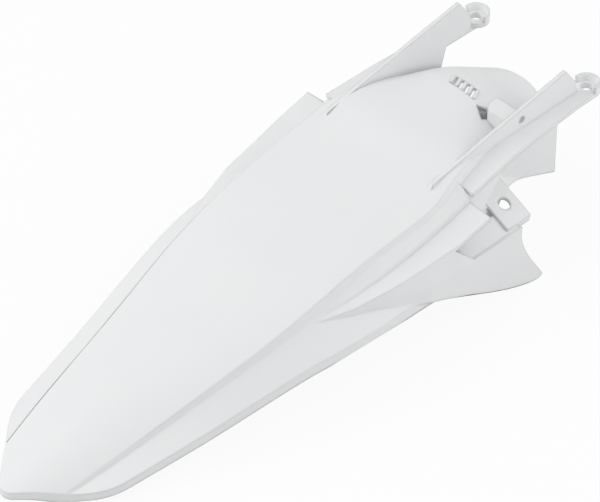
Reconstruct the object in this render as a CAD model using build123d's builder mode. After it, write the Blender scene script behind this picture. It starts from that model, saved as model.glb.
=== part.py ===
from build123d import *
import os

# Frame: X points forward to the arms, Y to the left, Z up.
# The origin lies midway between the two eye holes, on their upper face.

# Wall of the moulding and how far its inner path moves inward for each millimetre down
wall = 3.0
inward = 0.8

# Plan outline of the tail
tail_tip_x = -706.0
tail_corner_x = -631.0
tail_corner_y = 72.5
tail_tip_radius = 14.0
tail_corner_radius = 70.0
side_bend_x = -352.0
side_bend_radius = 400.0
side_edge_y = 127.2

# Turned-down hem along the tail and the side flanges
hem_depth = 8.5
hem_wall = 3.0
hem_root = 1.2
hem_end_x = -255.0

# Arms: web plate, outer flange, eye lug and its bolt hole
eye_y = 77.0
eye_hole_radius = 6.0
eye_radius = 14.0
eye_seat = 7.0
eye_seat_radius = 9.5
eye_rim_height = 7.0
eye_rim_wall = 2.0
eye_rim_foot = 4.5
eye_rim_turn = 200.0
web_wall = 4.5
web_inset = 5.5
web_drop = 10.0
rib_start_x = -222.0
rib_end_x = -31.0
rib_end_height = 36.0
rib_mid_x = -112.0
rib_mid_height = 20.5
arm_wall = 3.0
arm_skirt = 4.5
arm_rear_x = -188.0
arm_rear_width = 31.5
arm_mid_x = -106.0
arm_mid_width = 23.5
arm_front_width = 20.0
arm_rear_drop = 12.0
arm_level_x = -125.0
arm_lean = 0.17

# Walls of the wheel tunnel under the arms
tunnel_y = 81.0
tunnel_front_x = -47.0
tunnel_front_depth = 81.0
nose_x = -12.0
nose_half_width = 85.0
tunnel_rear_depth = 52.0

# Bolt tabs in front of the side panels
tab_rear_x = -163.0
tab_front_x = -130.0
tab_outer_y = 128.0
tab_outer_z = -57.5
tab_slope = 0.467
tab_wall = 4.0
tab_skirt = 9.0
tab_skirt_wall = 3.5
tab_skirt_lean = 1.5
tab_lip = 4.0
tab_hole_radius = 6.5
tab_hole_x = -146.0
tab_hole_y = 106.0

# Side panel: ridge of the upper bands, fin below it
panel_wall = 2.6
ridge_front_x = -189.0
mouth_top_x = -236.0
mouth_foot_x = -214.0
recess_rear_x = -226.0
fin_top_z = -61.0
shelf_inner_y = 108.0
shelf_outer_y = 132.2
shelf_rear_x = -222.0
shelf_front_x = -148.0
shelf_step = 3.0
recess_top_y = 127.0
recess_wall = 3.0
bridge_inner_y = 94.0
bridge_outer_y = 101.0
bridge_rear_x = -201.0
bridge_overlap = 3.0
bridge_sink = 0.5

# Louvre slots and ribs on the front dome
louvre_pitch = 8.0
louvre_length = 16.0
louvre_width = 3.4
louvre_x = -98.5
louvre_y = -2.0
louvre_slant = 27.0
louvre_rib = 1.8

# Screw boss beside the right arm, the dimple in the web and the pocket at the boss
boss_top = 16.0
boss_depth = 35.0
boss_wall = 3.0
dimple_x = -93.5
dimple_z = 10.5
dimple_radius = 4.2
dimple_depth = 3.0
pocket_floor = -8.0
pocket_x = -110.0
pocket_y = -38.0
pocket_length = 22.0
pocket_width = 28.0

web_y = eye_y - web_inset

# Reach of the trimming shapes and how far they run past what they trim
span = 400.0
side_reach = 80.0
panel_reach = 40.0
past = 5.0

# Loft stations of the main skin: x, crown height, then crease, step foot and edge as (half width, height)
skin_stations = [
    (-712, -137, (37, -151), (37.5, -152), (60, -152.5)),
    (-655, -118, (45.5, -131.5), (46.5, -133), (76, -137)),
    (-600, -100, (55, -114), (56.5, -117.5), (86, -126)),
    (-500, -71, (70, -84), (72.5, -90), (105, -107.8)),
    (-400, -40, (84, -51), (87.5, -60), (124, -86.8)),
    (-300, -13, (88, -25), (92, -37), (133, -81)),
    (-220, 4, (89, -9), (93, -22), (131, -83.5)),
    (-165, 16, (web_y + 7, 3), (web_y + 10, -12), (110, -66)),
    (-115, 13, (web_y + 1, -11), (web_y + 5, -26), (tunnel_y + 6, -54)),
    (-78, 5.5, (web_y - 1, -24.5), (web_y + 4, -40.5), (tunnel_y + 2, -67)),
    (-54, -7, (web_y - 2, -34.5), (web_y + 3, -50.5), (tunnel_y + 1, -77)),
    (-34, -17.5, (web_y - 5, -46), (web_y, -61), (tunnel_y - 1, -83)),
    (-4, -35, (web_y - 12, -75), (web_y - 7, -84), (tunnel_y - 8, -96)),
]

# Loft stations of the side panel: x, then inner edge, upper step, its foot, ridge, fin top and fin foot
panel_stations = [
    (-394, (85.5, -57), (88, -58.8), (88.6, -59.6), (90, -60.6), (90.6, -61.8), (91.2, -65)),
    (-350, (87.5, -43), (97, -50), (98, -52), (108, -54.5), (108.6, -60.5), (106.5, -70)),
    (-310, (88.8, -32), (100.5, -43), (101.4, -46), (118.5, -47), (121.5, -61), (122, -78)),
    (-270, (89.5, -24), (100.5, -36.5), (101.4, -41), (123.5, -41.5), (130.5, -64), (131.8, -92)),
    (-228, (90, -16), (100, -27.5), (101, -33), (128.3, -34.5), (134, -63), (133.6, -108)),
    (-189, (84.5, -8), (100, -16), (101, -22), (128.8, -24.5), (133.5, -62), (134.3, -128)),
    (-104, (84.5, -8), (100, -11), (101, -16), (129, -20), (132.5, -61.5), (135, -163)),
]


def across(x):
    return Plane(origin=(x, 0, 0), x_dir=(0, 1, 0), z_dir=(1, 0, 0))


def lengthwise(y):
    return Plane(origin=(0, y, 0), x_dir=(1, 0, 0), z_dir=(0, -1, 0))


def skin_loft(depth, lift=0.0):
    with BuildPart() as skin:
        for x, crown, *edges in skin_stations:
            crease, foot, edge = [(y, z + lift) for y, z in edges]
            inner = [(y - inward * depth, z - depth) for y, z in (edge, foot, crease)]
            outer_left = [(-y, z) for y, z in (edge, foot, crease)]
            inner_left = [(-y, z) for y, z in reversed(inner)]
            with BuildSketch(across(x)):
                with BuildLine():
                    ThreePointArc(outer_left[2], (0, crown + lift), crease)
                    Polyline(crease, foot, edge, *inner)
                    ThreePointArc(inner[2], (0, crown + lift - depth), inner_left[0])
                    Polyline(*inner_left, *outer_left)
                make_face()
        loft()
    return skin.part


def tail_plan():
    with BuildSketch() as outline:
        with BuildLine():
            Polyline(
                (tail_tip_x, 0),
                (tail_corner_x, tail_corner_y),
                (side_bend_x, side_edge_y),
                (tunnel_front_x, side_edge_y),
                (tunnel_front_x, nose_half_width),
            )
            ThreePointArc((tunnel_front_x, nose_half_width), (nose_x, 0), (tunnel_front_x, -nose_half_width))
            Polyline(
                (tunnel_front_x, -nose_half_width),
                (tunnel_front_x, -side_edge_y),
                (side_bend_x, -side_edge_y),
                (tail_corner_x, -tail_corner_y),
                (tail_tip_x, 0),
            )
        make_face()
        fillet(outline.vertices().sort_by(Axis.X)[0], radius=tail_tip_radius)
        corners = outline.vertices().filter_by_position(Axis.X, tail_corner_x - 1, tail_corner_x + 1)
        fillet(corners, radius=tail_corner_radius)
        bends = outline.vertices().filter_by_position(Axis.X, side_bend_x - 1, side_bend_x + 1)
        fillet(bends, radius=side_bend_radius)
    return outline.sketch


plan = tail_plan()

# Left half of the main skin, trimmed to the plan outline
with BuildPart() as main_skin:
    add(skin_loft(wall))
    with BuildSketch(Plane.XY.offset(-span / 2)) as trim:
        add(plan)
        with Locations((0, span)):
            Rectangle(4 * span, 2 * span, mode=Mode.INTERSECT)
    extrude(to_extrude=trim.sketch, amount=span, mode=Mode.INTERSECT)

# Hem that follows the outline of the tail and the side flange
with BuildPart() as hem:
    add(skin_loft(hem_depth - hem_root, -hem_root))
    with BuildSketch(Plane.XY.offset(-span / 2)) as ring:
        add(plan)
        offset(plan, amount=-hem_wall, mode=Mode.SUBTRACT)
        with Locations((hem_end_x - span, span)):
            Rectangle(2 * span, 2 * span, mode=Mode.INTERSECT)
    extrude(to_extrude=ring.sketch, amount=span, mode=Mode.INTERSECT)

# Web plate of one arm, with the rib that grows out of the plateau
with BuildPart() as web:
    with BuildSketch(lengthwise(web_y)):
        with BuildLine():
            Polyline(
                (rib_start_x, -8.5),
                (rib_start_x + 7, 0),
                (rib_mid_x, rib_mid_height),
                (rib_end_x, rib_end_height),
                (rib_end_x + 14, 16),
                (rib_end_x + 19, 0),
                (0, 0),
                (0, -web_drop),
                (-49, -web_drop),
                (-57, -42),
                (-78, -30),
                (-117, -18),
                (-138, -10),
                (-165, -1.5),
                (-190, -6),
                (rib_start_x, -11.5),
                close=True,
            )
        make_face()
    extrude(amount=-web_wall)


def arm_plan(inset):
    with BuildSketch(Plane.XY.offset(-span / 2)) as outline:
        with BuildLine():
            Polyline(
                (arm_rear_x + inset, web_y + inset),
                (arm_rear_x + inset, web_y + arm_rear_width - inset),
                (arm_mid_x, web_y + arm_mid_width - inset),
                (rib_end_x, web_y + arm_front_width - inset),
                (0, eye_y + eye_radius - inset),
                (0, web_y + inset),
                close=True,
            )
        make_face()
        with Locations((0, eye_y)):
            Circle(eye_radius - inset)
    return outline.sketch


def arm_slab(top, bottom, inset):
    with BuildPart() as slab:
        for y in (web_y - 2 * past, web_y + side_reach):
            lean = arm_lean * (y - web_y)
            with BuildSketch(lengthwise(y)):
                with BuildLine():
                    Polyline(
                        (arm_rear_x - past, top - arm_rear_drop),
                        (arm_level_x, top - lean),
                        (rib_end_x, top),
                        (eye_radius + past, top),
                        (eye_radius + past, bottom),
                        (rib_end_x, bottom),
                        (arm_level_x, bottom - lean),
                        (arm_rear_x - past, bottom - arm_rear_drop),
                        close=True,
                    )
                make_face()
        loft(ruled=True)
        extrude(to_extrude=arm_plan(inset), amount=span, mode=Mode.INTERSECT)
    return slab.part


# Outer flange of the arm with its turned-down skirt and the eye
with BuildPart() as flange:
    add(arm_slab(0, -arm_skirt, 0))
    add(arm_slab(-arm_wall, -arm_skirt - past, arm_wall), mode=Mode.SUBTRACT)

# Tunnel wall below the arm, its top inside the flange
tunnel_top_z = -arm_wall / 3
tunnel_level_z = tunnel_top_z - arm_lean * (tunnel_y + wall - web_y)
with BuildPart() as tunnel:
    with BuildSketch(lengthwise(tunnel_y)):
        with BuildLine():
            Polyline(
                (arm_rear_x + arm_wall + 1, -arm_rear_drop + tunnel_top_z),
                (arm_level_x, tunnel_level_z),
                (tunnel_front_x - 2, tunnel_top_z),
                (tunnel_front_x, -tunnel_front_depth),
                (-113, -tunnel_rear_depth),
                (arm_rear_x + arm_wall + 1, -tunnel_rear_depth + 6),
                close=True,
            )
        make_face()
    extrude(amount=-wall)

# Bolt tab in front of the side panel: a sloping pad with a turned-down outer edge
tab_inner_z = tab_outer_z + tab_slope * (tab_outer_y - tunnel_y - 1)
with BuildPart() as tab:
    with BuildSketch(across(tab_rear_x)):
        with BuildLine():
            Polyline(
                (tunnel_y + 1, tab_inner_z),
                (tab_outer_y, tab_outer_z),
                (tab_outer_y - tab_skirt_lean, tab_outer_z - tab_skirt),
                (tab_outer_y - tab_skirt_lean - tab_skirt_wall, tab_outer_z - tab_skirt),
                (tab_outer_y - tab_lip, tab_outer_z - tab_wall + tab_lip * tab_slope),
                (tunnel_y + 1, tab_inner_z - tab_wall),
                close=True,
            )
        make_face()
    extrude(amount=tab_front_x - tab_rear_x)

# Bridge from the tab back under the bands
with BuildPart() as bridge:
    with BuildSketch(across(tab_rear_x + bridge_overlap)):
        bridge_inner_z = tab_outer_z + tab_slope * (tab_outer_y - bridge_inner_y) - bridge_sink
        bridge_outer_z = tab_outer_z + tab_slope * (tab_outer_y - bridge_outer_y) - bridge_sink
        with BuildLine():
            Polyline(
                (bridge_inner_y, bridge_inner_z),
                (bridge_outer_y, bridge_outer_z),
                (bridge_outer_y, bridge_outer_z - panel_wall),
                (bridge_inner_y, bridge_inner_z - panel_wall),
                close=True,
            )
        make_face()
    extrude(amount=bridge_rear_x - tab_rear_x - bridge_overlap)

# Side panel: two stepped bands, the bulged third band and the fin
with BuildPart() as panel:
    for x, *path in panel_stations:
        inner = [(y - inward * panel_wall, z - panel_wall) for y, z in reversed(path)]
        with BuildSketch(across(x)):
            with BuildLine():
                Polyline(*path, *inner, close=True)
            make_face()
    loft(ruled=True)
    # Open front of the bands and the mouth of the third band
    with BuildSketch(lengthwise(70)) as bands_front:
        with BuildLine():
            Polyline((ridge_front_x, 60), (0, 60), (0, fin_top_z), (ridge_front_x, fin_top_z), close=True)
        make_face()
    extrude(to_extrude=bands_front.sketch, amount=-side_reach, mode=Mode.SUBTRACT)
    with BuildSketch(lengthwise(111)) as mouth:
        with BuildLine():
            Polyline(
                (mouth_top_x, -39.5),
                (ridge_front_x, -28.2),
                (ridge_front_x, fin_top_z),
                (mouth_foot_x, fin_top_z),
                close=True,
            )
        make_face()
    extrude(to_extrude=mouth.sketch, amount=-panel_reach, mode=Mode.SUBTRACT)
    # Front and lower edge of the fin
    with BuildSketch(lengthwise(105)) as fin_front:
        with BuildLine():
            Spline((-146, -58), (-147, -74), (-141, -94), (-129, -117), (-113, -144))
            Polyline((-113, -144), (-90, -144), (-90, -58), (-146, -58))
        make_face()
    extrude(to_extrude=fin_front.sketch, amount=-panel_reach, mode=Mode.SUBTRACT)
    with BuildSketch(lengthwise(105)) as fin_foot:
        with BuildLine():
            Spline(
                (-113, -144),
                (-118, -146.5),
                (-128, -145.5),
                (-150, -138.5),
                (-189, -121),
                (-228, -101),
                (-300, -76),
            )
            Polyline((-300, -76), (-300, -175), (-90, -175), (-90, -144), (-113, -144))
        make_face()
    extrude(to_extrude=fin_foot.sketch, amount=-panel_reach, mode=Mode.SUBTRACT)

# Shelf between the mouth and the tab, and the recess wall up to the ridge
shelf_outer_z = tab_outer_z - shelf_step - tab_slope * (shelf_outer_y - tab_outer_y)
shelf_inner_z = tab_outer_z - shelf_step - tab_slope * (shelf_inner_y - tab_outer_y)
with BuildPart() as shelf:
    with BuildSketch(across(shelf_rear_x)):
        with BuildLine():
            Polyline(
                (shelf_inner_y, shelf_inner_z),
                (shelf_outer_y, shelf_outer_z),
                (shelf_outer_y, shelf_outer_z - panel_wall),
                (shelf_inner_y, shelf_inner_z - panel_wall),
                close=True,
            )
        make_face()
    extrude(amount=shelf_front_x - shelf_rear_x)
with BuildPart() as recess:
    for x, z in ((recess_rear_x, -35.5), (ridge_front_x - 1, -26)):
        with BuildSketch(across(x)):
            with BuildLine():
                Polyline(
                    (recess_top_y, z),
                    (shelf_inner_y + 1, shelf_inner_z - 1),
                    (shelf_inner_y + 1 - recess_wall, shelf_inner_z - 1),
                    (recess_top_y - recess_wall, z),
                    close=True,
                )
            make_face()
    loft(ruled=True)

# Thick seat of the eye and the raised collar round its front
eye_axis = Axis((0, eye_y, 0), (0, 0, 1))
rim_start = Vector(1, 0, 0).rotate(Axis.Z, -eye_rim_turn / 2)
rim_side = rim_start.cross(Vector(0, 0, 1))
with BuildPart() as eye:
    with BuildSketch(Plane.XY.offset(-eye_seat)):
        with Locations((0, eye_y)):
            Circle(eye_seat_radius)
    extrude(amount=eye_seat - 1)
    with BuildSketch(Plane(origin=(0, eye_y, 0), x_dir=rim_start, z_dir=rim_side)) as rim:
        with BuildLine():
            Polyline(
                (eye_radius, -1),
                (eye_radius, eye_rim_height),
                (eye_radius - eye_rim_wall, eye_rim_height),
                (eye_radius - eye_rim_foot, -1),
                close=True,
            )
        make_face()
    revolve(rim.sketch, axis=eye_axis, revolution_arc=eye_rim_turn)

# Everything of the left half
with BuildPart() as half:
    add(main_skin.part)
    add([piece.part for piece in (hem, web, flange, eye, tunnel, panel, shelf, recess, tab, bridge)])

# Raised ribs between the louvres
with BuildPart() as louvre_ribs:
    add(skin_loft(wall, louvre_rib))
    with BuildSketch(Plane.XY.offset(-span / 2)) as rib_plan:
        with Locations((louvre_x, louvre_y)):
            with GridLocations(louvre_pitch, louvre_pitch, 1, 5):
                SlotOverall(louvre_length, louvre_pitch - louvre_width - 1, rotation=louvre_slant)
    extrude(to_extrude=rib_plan.sketch, amount=span, mode=Mode.INTERSECT)

# Screw boss against the inner face of the right web, with a block for the pocket beside it
with BuildSketch() as boss_outline:
    with BuildLine():
        Polyline((-90, -web_y - 1), (-91, -40), (-103, -40), (-112, -47), (-112, -web_y - 1), close=True)
    make_face()
with BuildPart() as boss:
    with BuildSketch(Plane.XY.offset(boss_top)):
        add(boss_outline.sketch)
    extrude(amount=-boss_depth)
    with BuildSketch(Plane.XY.offset(-1)):
        with Locations((pocket_x, pocket_y)):
            Rectangle(pocket_length, pocket_width)
    extrude(amount=pocket_floor - boss_wall)

# What is cut away at the end: hollow and pocket of the boss, dimple, louvre slots and bolt holes
with BuildPart() as cutters:
    with BuildSketch(Plane.XY.offset(boss_top - boss_wall - 2 * boss_depth)):
        offset(boss_outline.sketch, amount=-boss_wall)
    extrude(amount=2 * boss_depth, dir=(0, 0, 1))
    with BuildSketch(Plane.XY.offset(pocket_floor)):
        with BuildLine():
            Polyline((-108, -28), (-101, -36.5), (-112, -46), (-117, -44), close=True)
        make_face()
    extrude(amount=span / 10)
    with BuildSketch(lengthwise(-web_y - web_wall + dimple_depth)):
        with Locations((dimple_x, dimple_z)):
            Circle(dimple_radius)
    extrude(amount=2 * dimple_depth)
    with BuildSketch(Plane.XY.offset(-span / 20)):
        with Locations((louvre_x, louvre_y)):
            with GridLocations(louvre_pitch, louvre_pitch, 1, 4):
                SlotOverall(louvre_length, louvre_width, rotation=louvre_slant)
    extrude(amount=span / 8)
    with BuildSketch(Plane.XY.offset(-span / 5)):
        with Locations((0, eye_y), (0, -eye_y)):
            Circle(eye_hole_radius)
        with Locations((tab_hole_x, tab_hole_y), (tab_hole_x, -tab_hole_y)):
            Circle(tab_hole_radius)
    extrude(amount=span / 4)

# The whole moulding: the left half, its mirror image, louvre ribs and boss, less the cuts
with BuildPart() as rear_fender:
    add(half.part)
    right_half = mirror(half.part, about=Plane.XZ, mode=Mode.PRIVATE)
    add([right_half, louvre_ribs.part, boss.part])
    add(cutters.part, mode=Mode.SUBTRACT)

os.makedirs("parts", exist_ok=True)
rear_fender.part.label = "rear_fender"
export_step(rear_fender.part, "parts/rear_fender.step")
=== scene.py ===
import math

import bpy
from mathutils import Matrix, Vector


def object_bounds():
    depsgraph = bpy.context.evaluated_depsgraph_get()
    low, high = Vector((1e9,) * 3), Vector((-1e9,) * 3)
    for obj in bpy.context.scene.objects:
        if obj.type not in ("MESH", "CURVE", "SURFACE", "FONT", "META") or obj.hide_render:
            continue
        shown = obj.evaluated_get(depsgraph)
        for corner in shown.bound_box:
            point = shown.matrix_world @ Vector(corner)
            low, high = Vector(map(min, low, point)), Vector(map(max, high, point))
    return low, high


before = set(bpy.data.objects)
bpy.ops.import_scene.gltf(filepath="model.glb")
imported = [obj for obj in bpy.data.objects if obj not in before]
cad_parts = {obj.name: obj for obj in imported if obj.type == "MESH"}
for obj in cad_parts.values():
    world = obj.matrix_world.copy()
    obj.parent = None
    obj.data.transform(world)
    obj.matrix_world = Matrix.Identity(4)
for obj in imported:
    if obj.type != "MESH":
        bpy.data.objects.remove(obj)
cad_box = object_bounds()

scene = bpy.context.scene
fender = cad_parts["rear_fender"]

# Places and sizes are in metres, angles in degrees, lens and sensor in millimetres, powers in watts
floor_z = cad_box[0][2]
floor_size = 14.0
camera_place = (-1.782, -1.556, 1.936)
camera_azimuth = 43.2
camera_elevation = 43.25
camera_lens = 180.0
camera_sensor = 36.0

# Softboxes as (name, place, power): the key stands behind the tail on the left, the others fill
lamp_target = (-0.33, 0.0, -0.05)
lamp_size = 2.0
lamps = [
    ("key", (-1.8, 1.3, 1.3), 27.0),
    ("front", (1.2, -1.4, 1.2), 16.0),
    ("top", (-0.33, 0.0, 2.2), 6.8),
    ("side", (-0.20, -2.1, 0.40), 5.6),
]
world_tint = (0.97, 0.985, 1.0, 1.0)
world_light = 0.47
floor_colour = (0.90, 0.90, 0.90, 1.0)
floor_shown_share = 0.92
white = (1.0, 1.0, 1.0, 1.0)

# Plastic: colours of the flow clouds, painted shade in the corners, roughness and rounded edges
cloud_dark = (0.828, 0.832, 0.834, 1.0)
cloud_light = (0.868, 0.868, 0.866, 1.0)
corner_shade_colour = (0.700, 0.712, 0.720, 1.0)
corner_reach = 0.008
corner_range = (0.25, 0.75)
roughness_range = (0.30, 0.46)
edge_radius = 0.0034
shading_samples = 8
plastic_ior = 1.49
plastic_specular = 0.45

# Painted shadow lines along the plateau's creases, as (x, half width)
shadow_line_colour = (0.17, 0.175, 0.18, 1.0)
crease_line = [
    (-0.712, 0.0370),
    (-0.655, 0.0455),
    (-0.600, 0.0550),
    (-0.500, 0.0700),
    (-0.400, 0.0840),
    (-0.300, 0.0880),
]
crease_widest = 0.1
crease_width = 0.0008
crease_fade = (-0.33, -0.58)
crease_end = -0.6585
crease_right_share = 0.12

# Painted shadow lines along the fins' lower edges, as (x, z)
fin_line = [
    (-0.300, -0.0760),
    (-0.228, -0.1010),
    (-0.189, -0.1210),
    (-0.150, -0.1385),
    (-0.128, -0.1455),
]
fin_lowest = -0.16
fin_width = 0.0011
fin_inner = 0.105
fin_middle = -0.200
fin_reach = 0.068


def node(tree, kind, **values):
    made = tree.nodes.new(kind)
    for name, value in values.items():
        setattr(made, name, value)
    return made


def noise(tree, place, scale, detail, roughness):
    made = node(tree, "ShaderNodeTexNoise")
    made.inputs["Scale"].default_value = scale
    made.inputs["Detail"].default_value = detail
    made.inputs["Roughness"].default_value = roughness
    tree.links.new(place, made.inputs["Vector"])
    return made.outputs["Fac"]


def maths(tree, operation, *values):
    made = node(tree, "ShaderNodeMath", operation=operation)
    for socket, value in zip(made.inputs, values):
        if isinstance(value, float):
            socket.default_value = value
        else:
            tree.links.new(value, socket)
    return made.outputs["Value"]


def map_range(tree, value, source=(0.0, 1.0), target=(0.0, 1.0), **values):
    made = node(tree, "ShaderNodeMapRange", **values)
    made.inputs["From Min"].default_value = source[0]
    made.inputs["From Max"].default_value = source[1]
    made.inputs["To Min"].default_value = target[0]
    made.inputs["To Max"].default_value = target[1]
    tree.links.new(value, made.inputs["Value"])
    return made.outputs["Result"]


def mix_colours(tree, factor, first, second):
    made = node(tree, "ShaderNodeMix", data_type="RGBA")
    tree.links.new(factor, made.inputs["Factor"])
    for name, colour in (("A", first), ("B", second)):
        if isinstance(colour, tuple):
            made.inputs[name].default_value = colour
        else:
            tree.links.new(colour, made.inputs[name])
    return made.outputs["Result"]


def bump(tree, height, normal, strength, distance):
    made = node(tree, "ShaderNodeBump")
    made.inputs["Strength"].default_value = strength
    made.inputs["Distance"].default_value = distance
    tree.links.new(height, made.inputs["Height"])
    tree.links.new(normal, made.inputs["Normal"])
    return made.outputs["Normal"]


# Value of a curve through points, read along one axis of the object
def curve_at(tree, along, points, low, high):
    start, end = points[0][0], points[-1][0]
    shape = node(tree, "ShaderNodeFloatCurve")
    knots = shape.mapping.curves[0].points
    while len(knots) < len(points):
        knots.new(0.5, 0.5)
    for knot, (x, value) in zip(knots, points):
        knot.location = ((x - start) / (end - start), (value - low) / (high - low))
    shape.mapping.update()
    tree.links.new(map_range(tree, along, (start, end)), shape.inputs["Value"])
    return map_range(tree, shape.outputs["Value"], target=(low, high))


# One inside a narrow band round zero, none outside it
def thin_line(tree, distance, width):
    away = maths(tree, "ABSOLUTE", distance)
    return map_range(tree, away, (width, width / 2), interpolation_type="SMOOTHSTEP")


# Painted shadow lines on the upper face, just inside the creases: they fade out forward and are faint on the
# right
def crease_shadow_line(tree, x, y, facing_up):
    half_width = curve_at(tree, x, crease_line, 0.0, crease_widest)
    inside = maths(tree, "SUBTRACT", maths(tree, "ABSOLUTE", y), half_width)
    line = thin_line(tree, maths(tree, "ADD", inside, crease_width), crease_width)
    line = maths(tree, "MULTIPLY", line, map_range(tree, x, crease_fade))
    tail_half_width = crease_line[0][1]
    by_side = map_range(tree, y, (-tail_half_width, tail_half_width), (crease_right_share, 1.0))
    line = maths(tree, "MULTIPLY", line, by_side)
    line = maths(tree, "MULTIPLY", line, maths(tree, "GREATER_THAN", x, crease_end))
    return maths(tree, "MULTIPLY", line, maths(tree, "GREATER_THAN", facing_up, 0.0))


# Painted shadow line just above the fins' lower edges
def fin_shadow_line(tree, x, y, z):
    above = maths(tree, "SUBTRACT", z, curve_at(tree, x, fin_line, fin_lowest, 0.0))
    line = thin_line(tree, above, fin_width)
    on_fin = maths(tree, "GREATER_THAN", maths(tree, "ABSOLUTE", y), fin_inner)
    along_edge = maths(tree, "COMPARE", x, fin_middle, fin_reach)
    return maths(tree, "MULTIPLY", line, maths(tree, "MULTIPLY", on_fin, along_edge))


# White moulded plastic: soft flow clouds, painted shade in the corners, painted shadow lines, rounded edges
# and a fine grain
def white_plastic():
    mat = bpy.data.materials.new("white_plastic")
    mat.use_nodes = True
    tree = mat.node_tree
    shader = tree.nodes["Principled BSDF"]
    coords = node(tree, "ShaderNodeTexCoord")
    place = coords.outputs["Object"]

    clouds = noise(tree, place, scale=9.0, detail=3.0, roughness=0.55)
    colour = mix_colours(tree, clouds, cloud_dark, cloud_light)
    # Painted shade: the colour darkens towards a grey where ambient occlusion finds nearby surfaces, in
    # corners and creases
    corners = node(tree, "ShaderNodeAmbientOcclusion", samples=shading_samples, only_local=True)
    corners.inputs["Distance"].default_value = corner_reach
    openness = map_range(tree, corners.outputs["AO"], corner_range)
    colour = mix_colours(tree, openness, corner_shade_colour, colour)

    axes = node(tree, "ShaderNodeSeparateXYZ")
    tree.links.new(place, axes.inputs["Vector"])
    x, y, z = axes.outputs
    facing = node(tree, "ShaderNodeSeparateXYZ")
    tree.links.new(coords.outputs["Normal"], facing.inputs["Vector"])
    # Painted shadow lines along the creases and the fins' lower edges, darkening the colour
    crease = crease_shadow_line(tree, x, y, facing.outputs["Z"])
    shadow_lines = maths(tree, "MAXIMUM", crease, fin_shadow_line(tree, x, y, z))
    colour = mix_colours(tree, shadow_lines, colour, shadow_line_colour)
    tree.links.new(colour, shader.inputs["Base Color"])

    smears = noise(tree, place, scale=38.0, detail=4.0, roughness=0.6)
    gloss = map_range(tree, smears, target=roughness_range)
    tree.links.new(gloss, shader.inputs["Roughness"])

    rounded = node(tree, "ShaderNodeBevel", samples=shading_samples)
    rounded.inputs["Radius"].default_value = edge_radius
    waves = noise(tree, place, scale=16.0, detail=2.0, roughness=0.45)
    normal = bump(tree, waves, rounded.outputs["Normal"], strength=0.20, distance=0.0012)
    grain = noise(tree, place, scale=1600.0, detail=2.0, roughness=0.5)
    normal = bump(tree, grain, normal, strength=0.10, distance=0.00012)
    tree.links.new(normal, shader.inputs["Normal"])

    shader.inputs["IOR"].default_value = plastic_ior
    shader.inputs["Specular IOR Level"].default_value = plastic_specular
    return mat


# One for rays of the kinds named, none for the others
def shown_to(tree, *kinds):
    rays = node(tree, "ShaderNodeLightPath")
    shown = rays.outputs[kinds[0]]
    for kind in kinds[1:]:
        shown = maths(tree, "MAXIMUM", shown, rays.outputs[kind])
    return shown


def mix_shaders(tree, factor, first, second, out):
    mix = node(tree, "ShaderNodeMixShader")
    tree.links.new(factor, mix.inputs["Fac"])
    tree.links.new(first.outputs[0], mix.inputs[1])
    tree.links.new(second.outputs[0], mix.inputs[2])
    tree.links.new(mix.outputs[0], out.inputs["Surface"])


# Floor: shown white to the camera, with a small share left for the object's shadow
def floor_white():
    mat = bpy.data.materials.new("floor_white")
    mat.use_nodes = True
    tree = mat.node_tree
    tree.nodes.remove(tree.nodes["Principled BSDF"])
    matt = node(tree, "ShaderNodeBsdfDiffuse")
    matt.inputs["Color"].default_value = floor_colour
    shown = node(tree, "ShaderNodeEmission")
    shown.inputs["Color"].default_value = white
    shown.inputs["Strength"].default_value = 1.0
    share = maths(tree, "MULTIPLY", shown_to(tree, "Is Camera Ray", "Is Transmission Ray"), floor_shown_share)
    mix_shaders(tree, share, matt, shown, tree.nodes["Material Output"])
    return mat


# World: white behind everything and in reflections, a plain grey for the light it gives
def studio_world():
    world = bpy.data.worlds.new("studio")
    world.use_nodes = True
    tree = world.node_tree
    tree.nodes.clear()
    lit = node(tree, "ShaderNodeBackground")
    lit.inputs["Color"].default_value = world_tint
    lit.inputs["Strength"].default_value = world_light
    seen = node(tree, "ShaderNodeBackground")
    seen.inputs["Color"].default_value = white
    seen.inputs["Strength"].default_value = 1.0
    rays = shown_to(tree, "Is Camera Ray", "Is Glossy Ray", "Is Transmission Ray")
    mix_shaders(tree, rays, lit, seen, node(tree, "ShaderNodeOutputWorld"))
    return world


def softbox(name, place, power):
    light = bpy.data.lights.new(name, "AREA")
    light.shape = "RECTANGLE"
    light.size = lamp_size
    light.size_y = lamp_size
    light.energy = power
    lamp = bpy.data.objects.new(name, light)
    scene.collection.objects.link(lamp)
    aim = Vector(lamp_target) - Vector(place)
    lamp.location = place
    lamp.rotation_euler = aim.to_track_quat("-Z", "Y").to_euler()


# Material of the moulding
fender.data.materials.clear()
fender.data.materials.append(white_plastic())

# Floor
corner = floor_size / 2
floor_corners = [(-corner, -corner), (corner, -corner), (corner, corner), (-corner, corner)]
floor_mesh = bpy.data.meshes.new("floor")
floor_mesh.from_pydata([(x, y, floor_z) for x, y in floor_corners], [], [(0, 1, 2, 3)])
floor = bpy.data.objects.new("floor", floor_mesh)
scene.collection.objects.link(floor)
floor.data.materials.append(floor_white())

# Light
scene.world = studio_world()
for name, place, power in lamps:
    softbox(name, place, power)

# Camera at the photograph's angle
azimuth = math.radians(camera_azimuth)
elevation = math.radians(camera_elevation)
view = Vector((
    math.sin(azimuth) * math.cos(elevation),
    math.cos(azimuth) * math.cos(elevation),
    -math.sin(elevation),
))
lens = bpy.data.cameras.new("camera")
lens.sensor_fit = "HORIZONTAL"
lens.sensor_width = camera_sensor
lens.lens = camera_lens
camera = bpy.data.objects.new("camera", lens)
scene.collection.objects.link(camera)
camera.location = camera_place
camera.rotation_euler = view.to_track_quat("-Z", "Y").to_euler()
scene.camera = camera

scene.view_settings.view_transform = "Standard"
